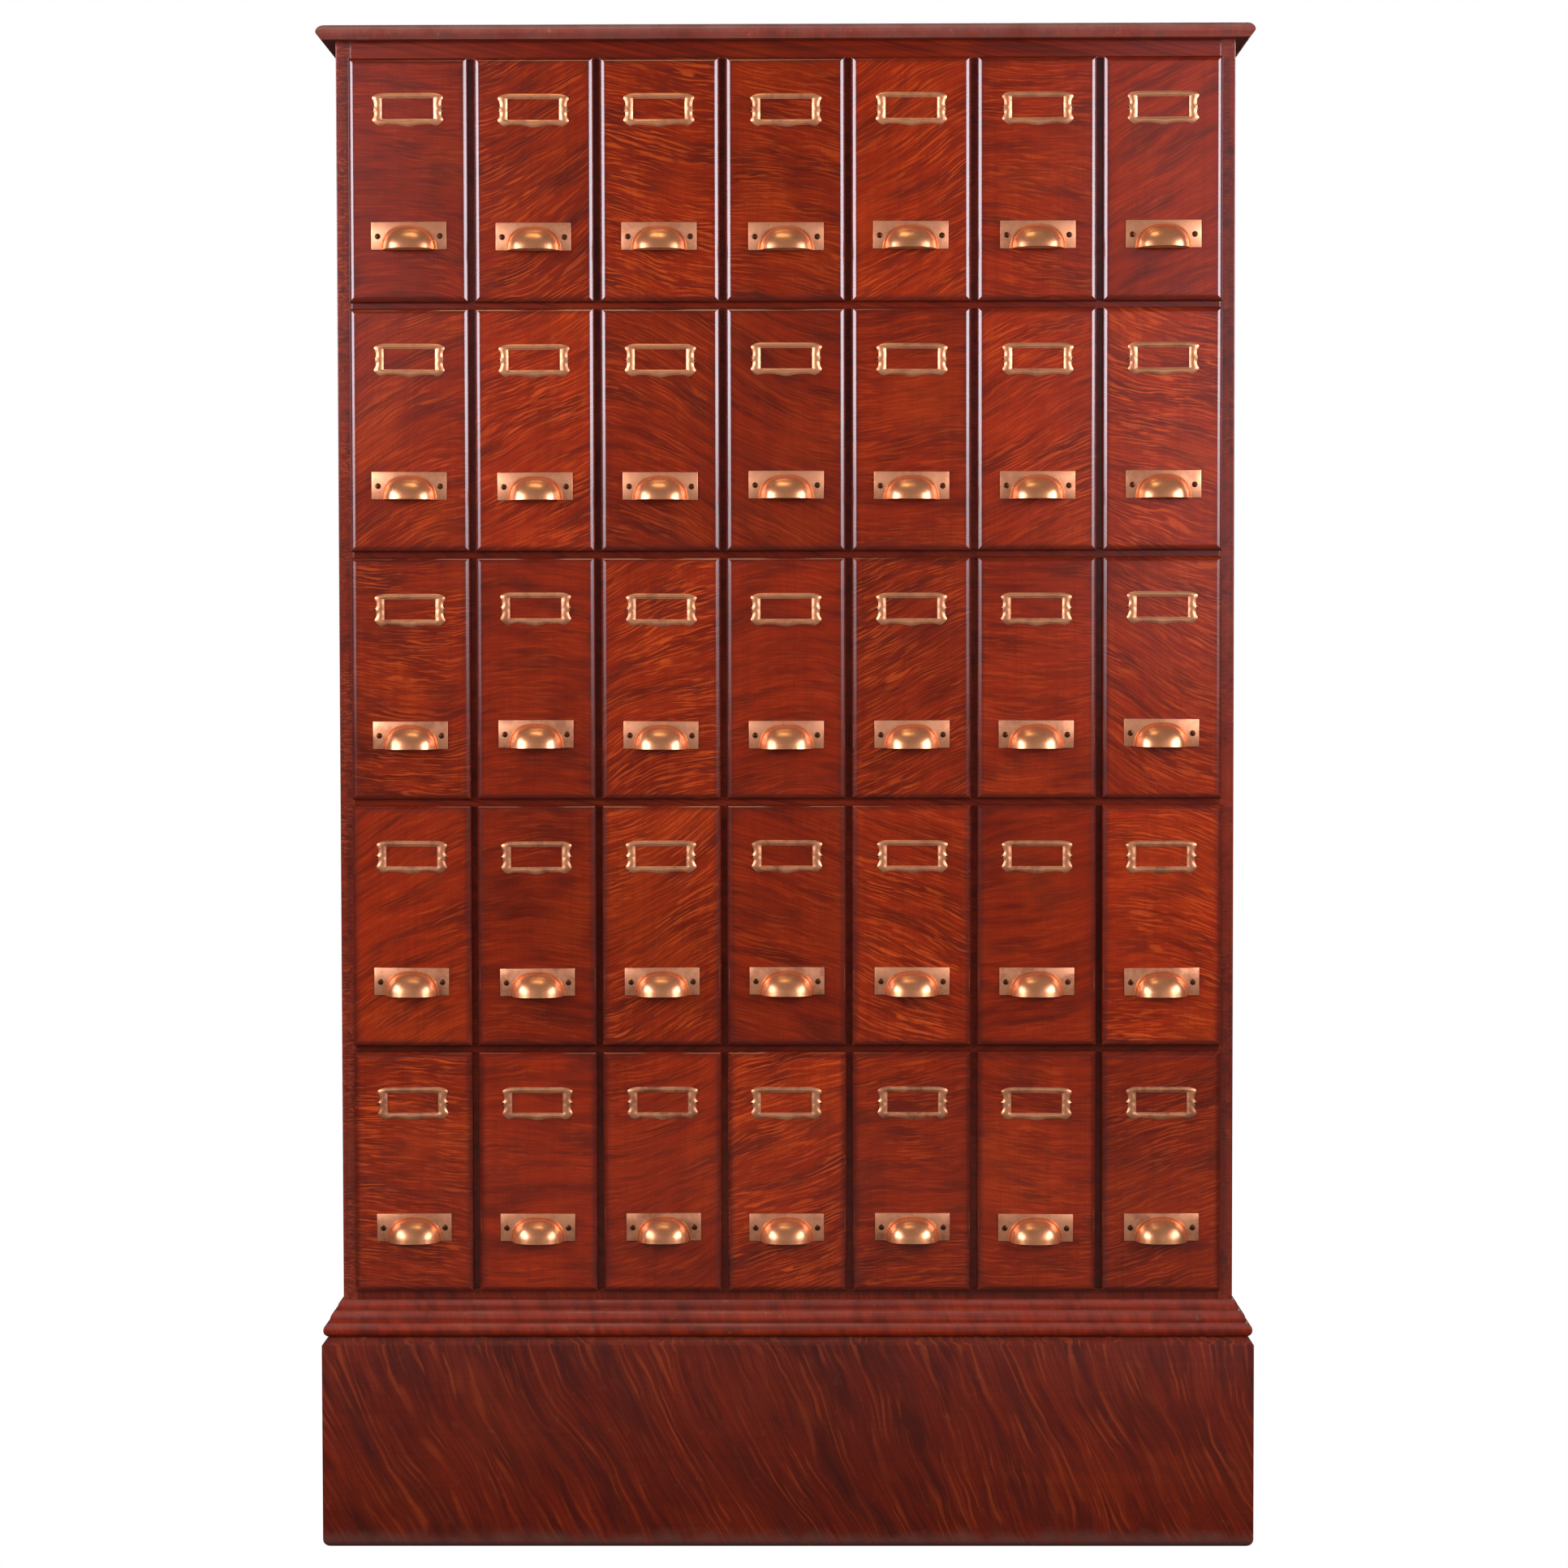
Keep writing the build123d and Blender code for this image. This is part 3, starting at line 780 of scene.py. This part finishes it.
PLATE = (76 * MM, 28 * MM, 1.6 * MM)
CUP_HALF_WIDTH = 27.5 * MM
CUP_DEPTH = 21.5 * MM
CUP_RISE = 25 * MM
CUP_WALL = 1.3 * MM
LABEL_HALF = (33.6 * MM, 15.8 * MM)
LABEL_WINDOW_HALF = (25.75 * MM, 10.25 * MM)
SCREW_HEIGHT = 13.5 * MM
pull_z = -FACE_HEIGHT / 2 + PULL_ABOVE_FACE_BOTTOM
label_z = FACE_HEIGHT / 2 - LABEL_BELOW_FACE_TOP


def add_cup(bm):
    """A half-round shell, fuller than an ellipse, open at the bottom, with a rolled lip.

    A bead runs round it where it meets the plate.
    """
    across, around = 40, 16
    fullness = 2.4
    plate_y = -PLATE[2] * 0.6

    def arch(inward, angle, y):
        row = []
        for i in range(across + 1):
            x = -math.cos(math.pi * i / across)
            bulge = max(0.0, 1 - abs(x) ** fullness) ** (1 / fullness)
            flare = 0.9 * MM * (1 - bulge) ** 3
            out = (CUP_DEPTH - inward) * bulge * math.sin(angle)
            up = (CUP_RISE - inward) * bulge * math.cos(angle)
            row.append((x * (CUP_HALF_WIDTH - inward + flare), y - out, pull_z + up))
        return row

    bead_section = ((0.0, 0.0), (0.0, 0.9), (0.4, 1.45), (1.0, 1.55), (1.5, 1.3), (1.8, 0.8))
    bead = [arch(inward * MM, 0.0, plate_y - rise * MM) for inward, rise in bead_section]
    bead_width = 2.0 * MM
    grow = CUP_DEPTH / (CUP_DEPTH - bead_width)

    def shell(inward):
        """The dome inside the bead, drawn out to its full depth."""
        rows = [arch(inward, math.pi / 2 * j / around, plate_y) for j in range(around + 1)]
        return [[(x, plate_y + (y - plate_y) * grow, z) for x, y, z in row] for row in rows]

    outer, inner = shell(bead_width), shell(bead_width + CUP_WALL)
    lip = [(x, y - 0.25 * MM, z - 0.1 * MM) for x, y, z in outer[-1]]
    lip_inner = [(x * 0.985, y + 0.45 * MM, z - 0.35 * MM) for x, y, z in outer[-1]]
    add_loft(bm, bead + outer[1:-1] + [lip, lip_inner] + inner[::-1], closed=False, material=2)


def add_dome(bm, x, y, z, radius, height, slot=0.0, turn=0.0, material=0):
    """A raised screw or pin head. slot is the slot's half width as a share of the radius."""
    stations = [-1, -0.92, -0.75, -0.5, -0.25]
    if slot:
        stations += [-slot, -slot * 0.92, slot * 0.92, slot]
    else:
        stations += [0]
    stations += [0.25, 0.5, 0.75, 0.92, 1]
    rows = []
    for across in stations:
        half = math.sqrt(max(0.0, 1 - across * across))
        row = []
        for i in range(13):
            along = -math.cos(math.pi * i / 12) * half
            rise = height * math.sqrt(max(0.0, 1 - (across * across + along * along)) * 0.9 + 0.02)
            if slot and abs(across) < slot * 0.95:
                rise *= 0.25
            p, q = across * radius, along * radius
            px = p * math.cos(turn) - q * math.sin(turn)
            pz = p * math.sin(turn) + q * math.cos(turn)
            row.append((x + px, y - rise, z + pz))
        rows.append(row)
    add_loft(bm, rows, closed=False, material=material)


def label_outline(angle):
    """The frame's waisted outline: lobes at the corners and pins, a shallow lobe at the foot."""
    half_x, half_z = LABEL_HALF
    cosine, sine = math.cos(angle), math.sin(angle)
    squareness = 9
    reach = (abs(cosine / half_x) ** squareness + abs(sine / half_z) ** squareness) ** (-1 / squareness)
    x, z = cosine * reach, sine * reach
    side = max(0.0, min(1.0, (abs(x) - half_x * 0.90) / (half_x * 0.08)))
    foot = max(0.0, min(1.0, (-z - half_z * 0.86) / (half_z * 0.12)))
    bump_side = 2.3 * math.exp(-((abs(z) - 11.5 * MM) / (3.6 * MM)) ** 2)
    bump_side += 2.6 * math.exp(-((z + 0.6 * MM) / (2.2 * MM)) ** 2)
    x += math.copysign(bump_side * MM * side, x)
    bump_foot = 2.6 * math.exp(-((abs(x) - 31 * MM) / (5.0 * MM)) ** 2)
    bump_foot += 2.1 * math.exp(-(x / (8.5 * MM)) ** 2)
    z -= bump_foot * MM * foot
    return x, z


def add_label_frame(bm):
    """A pressed frame between its outline and its window, rounded in section, with a thin inner edge."""
    half_x, half_z = LABEL_WINDOW_HALF
    corner = math.atan2(half_z, half_x)
    count = 44
    angles = []
    for start, end in (
        (-corner, corner), (corner, math.pi - corner),
        (math.pi - corner, math.pi + corner), (math.pi + corner, 2 * math.pi - corner),
    ):
        angles += [start + (end - start) * i / count for i in range(count)]
    # Each station is its share of the way from the outline to the window, and its height in millimetres.
    section = [(0.0, 0.0), (0.0, 0.5)]
    for i in range(11):
        section.append((0.06 + 0.86 * i / 10, 0.55 + 1.45 * math.sin(math.pi * (0.5 + i) / 11) ** 0.8))
    section += [(0.94, 0.95), (1.0, 0.9), (1.0, 0.0)]
    rings = []
    for t, rise in section:
        ring = []
        for angle in angles:
            ox, oz = label_outline(angle)
            cosine, sine = math.cos(angle), math.sin(angle)
            reach = min(half_x / abs(cosine) if cosine else 9, half_z / abs(sine) if sine else 9)
            ix, iz = cosine * reach, sine * reach
            ring.append((ox + (ix - ox) * t, -rise * MM, label_z + oz + (iz - oz) * t))
        rings.append(ring)
    add_loft(bm, rings, closed=True, material=3)


HARDWARE_SHARP_ABOVE = 38
bm = bmesh.new()
add_board(bm, (-PLATE[0] / 2, -PLATE[2], pull_z), (PLATE[0] / 2, 0, pull_z + PLATE[1]), 0.5 * MM, segments=2)
add_cup(bm)
add_label_frame(bm)
for sign in (-1, 1):
    add_dome(
        bm, sign * SCREW_SPACING / 2, -PLATE[2] + 0.1 * MM, pull_z + SCREW_HEIGHT,
        radius=3.0 * MM, height=1.0 * MM, slot=0.13, turn=0.6 + sign * 0.9, material=1,
    )
    add_dome(
        bm, sign * PIN_SPACING / 2, -1.1 * MM, label_z - 0.6 * MM,
        radius=1.2 * MM, height=0.8 * MM, material=1,
    )
hardware_mesh = finish_mesh(bm, "drawer_hardware")
hardware_mesh.set_sharp_from_angle(angle=math.radians(HARDWARE_SHARP_ABOVE))
for material in (brass_plate, screw_dark, brass_cup, brass_frame):
    hardware_mesh.materials.append(material)


# ------------------------------------------------------------------ the drawers

SLIP = 0.8
TWIST = 0.4
face_back_y = FRONT_Y - FACE_BACK_GAP

for body in drawers:
    low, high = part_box(body)
    middle_x, bottom_z = (low.x + high.x) / 2, low.z
    face_middle = Vector((middle_x, face_back_y - FACE_THICKNESS / 2, bottom_z + FACE_HEIGHT / 2))
    face = new_object(body + "_face", face_mesh, face_middle)
    weigh_normals(face)
    place_piece(face, body, body)
    box = new_object(body + "_box", box_mesh, (middle_x, face_back_y, bottom_z + BOX_FOOT_INSET))
    place_piece(box, body, body)
    # The brass of each drawer was screwed on by hand, so it sits a little off its place and angle.
    slip = Vector((rng.uniform(-SLIP, SLIP) * MM, 0, rng.uniform(-SLIP, SLIP) * MM))
    brass_place = face_middle + Vector((0, -FACE_THICKNESS / 2, 0)) + slip
    hardware = new_object(body + "_brass", hardware_mesh, brass_place)
    hardware.rotation_euler.y = math.radians(rng.uniform(-TWIST, TWIST))
    place_piece(hardware, body, body)
    # The lower the row, the darker its brass: partly more tarnish, partly painted shade.
    row = int(body.split("_")[1][1:])
    hardware.color[3] = min(1.0, hardware.color[3] * 0.5 + 0.12 * row)


# ------------------------------------------------------------------ floor, lights and camera

FLOOR_RADIUS = 14
FLOOR_COLOUR = (0.08, 0.07, 0.06, 1)

# The floor is dark and hidden from the camera. A pale one in view showed a grey horizon behind the
# cabinet, and its reflection greyed the lower fronts.
bpy.ops.mesh.primitive_circle_add(vertices=96, radius=FLOOR_RADIUS, fill_type="NGON", location=(0, 0, 0))
floor = bpy.context.object
floor.name = "studio_floor"
ground = Shader("floor_dark")
ground.set(Base_Color=FLOOR_COLOUR, Roughness=0.7)
dress(floor, ground.material)
floor.visible_camera = False


def area_light(name, location, target, size, power, colour=(1, 1, 1)):
    """A rectangular lamp that faces its target, its power in watts. The camera doesn't see it."""
    data = bpy.data.lights.new(name, "AREA")
    data.shape = "RECTANGLE"
    data.size, data.size_y = size
    data.energy = power
    data.color = colour
    lamp = bpy.data.objects.new(name, data)
    bpy.context.scene.collection.objects.link(lamp)
    lamp.location = location
    lamp.rotation_euler = (Vector(target) - Vector(location)).to_track_quat("-Z", "Y").to_euler()
    lamp.visible_camera = False
    return lamp


# A window stands to either side, in front of the cabinet, its light fading out towards the sill, so
# that the edges of the upper fronts shine and those of the lower ones don't.
WINDOW_X = 2.0
WINDOW_Y = FRONT_Y - 1.7
WINDOW_WIDTH = 2.3
WINDOW_COLOUR = (0.92, 0.89, 1.0)
# Each pane's name, foot, head and radiance
WINDOW_PANES = (
    ("upper", 1.28, 2.15, 12.5),
    ("lower", 1.08, 1.28, 6.5),
    ("sill", 0.84, 1.08, 1.8),
)
for side, label in ((-1, "left"), (1, "right")):
    for pane, low_z, high_z, radiance in WINDOW_PANES:
        pane_z = (low_z + high_z) / 2
        area_light(
            f"window_{label}_{pane}",
            location=(side * WINDOW_X, WINDOW_Y, pane_z),
            target=(0, WINDOW_Y, pane_z),
            size=(WINDOW_WIDTH, high_z - low_z),
            power=math.pi * WINDOW_WIDTH * (high_z - low_z) * radiance,
            colour=WINDOW_COLOUR,
        )

# The room fills the shadows without showing in the varnish.
room = area_light(
    "room_fill",
    location=(0, FRONT_Y - 3.2, 0.8),
    target=(0, FRONT_Y, 0.7),
    size=(3.0, 1.6),
    power=42,
    colour=(1.0, 0.93, 0.88),
)
room.visible_glossy = False

# Two far dim windows behind the viewer leave a bluish haze on the upper fronts.
FAR_WINDOW_Y = FRONT_Y - 6.8
FAR_WINDOW_COLOUR = (0.8, 0.85, 1.0)
area_light(
    "far_window_left",
    location=(-2.2, FAR_WINDOW_Y, 2.5),
    target=(-1.2, FRONT_Y, 1.2),
    size=(2.2, 1.8),
    power=6,
    colour=FAR_WINDOW_COLOUR,
)
area_light(
    "far_window_right",
    location=(2.0, FAR_WINDOW_Y, 2.1),
    target=(1.0, FRONT_Y, 1.2),
    size=(2.2, 2.6),
    power=9,
    colour=FAR_WINDOW_COLOUR,
)

# A weak warm lamp hangs above the cabinet, and a fill behind it lights its back.
area_light(
    "warm_lamp",
    location=(-0.25, FRONT_Y - 0.55, 3.0),
    target=(0, FRONT_Y - 0.1, 0.9),
    size=(0.7, 0.5),
    power=4,
    colour=(1.0, 0.85, 0.5),
)
area_light("back_fill", location=(0.6, BACK_Y + 3.0, 2.6), target=(0, BACK_Y, 0.9), size=(2.5, 2.0), power=70)

# The world is white behind the cabinet, but gives it little light.
WORLD_SEEN = 1.0
WORLD_LIGHT = 0.03
world = bpy.data.worlds.new("studio")
bpy.context.scene.world = world
world.use_nodes = True
tree = world.node_tree
backdrop = tree.nodes["Background"]
backdrop.inputs["Color"].default_value = (1, 1, 1, 1)
path = tree.nodes.new("ShaderNodeLightPath")
brightness = tree.nodes.new("ShaderNodeMapRange")
brightness.inputs["To Min"].default_value = WORLD_LIGHT
brightness.inputs["To Max"].default_value = WORLD_SEEN
tree.links.new(path.outputs["Is Camera Ray"], brightness.inputs["Value"])
tree.links.new(brightness.outputs["Result"], backdrop.inputs["Strength"])

# The camera looks slightly down, from a little right of the middle and with a trace of roll. Its
# angles are in degrees, its lens and sensor in millimetres.
CAMERA_PLACE = (0.0243, FRONT_Y - 3.5, 0.908)
CAMERA_TURN = 0.439
CAMERA_DIP = 2.108
CAMERA_ROLL = -0.107
CAMERA_SENSOR = 36
CAMERA_LENS = 79.02
camera_data = bpy.data.cameras.new("camera")
camera_data.sensor_width = CAMERA_SENSOR
camera_data.lens = CAMERA_LENS
camera = bpy.data.objects.new("camera", camera_data)
bpy.context.scene.collection.objects.link(camera)
camera.location = CAMERA_PLACE
turn = Matrix.Rotation(math.radians(CAMERA_TURN), 3, "Z")
dip = Matrix.Rotation(math.radians(90 - CAMERA_DIP), 3, "X")
roll = Matrix.Rotation(math.radians(CAMERA_ROLL), 3, "Z")
camera.rotation_euler = (turn @ dip @ roll).to_euler()
bpy.context.scene.camera = camera
bpy.context.scene.view_settings.view_transform = "Standard"
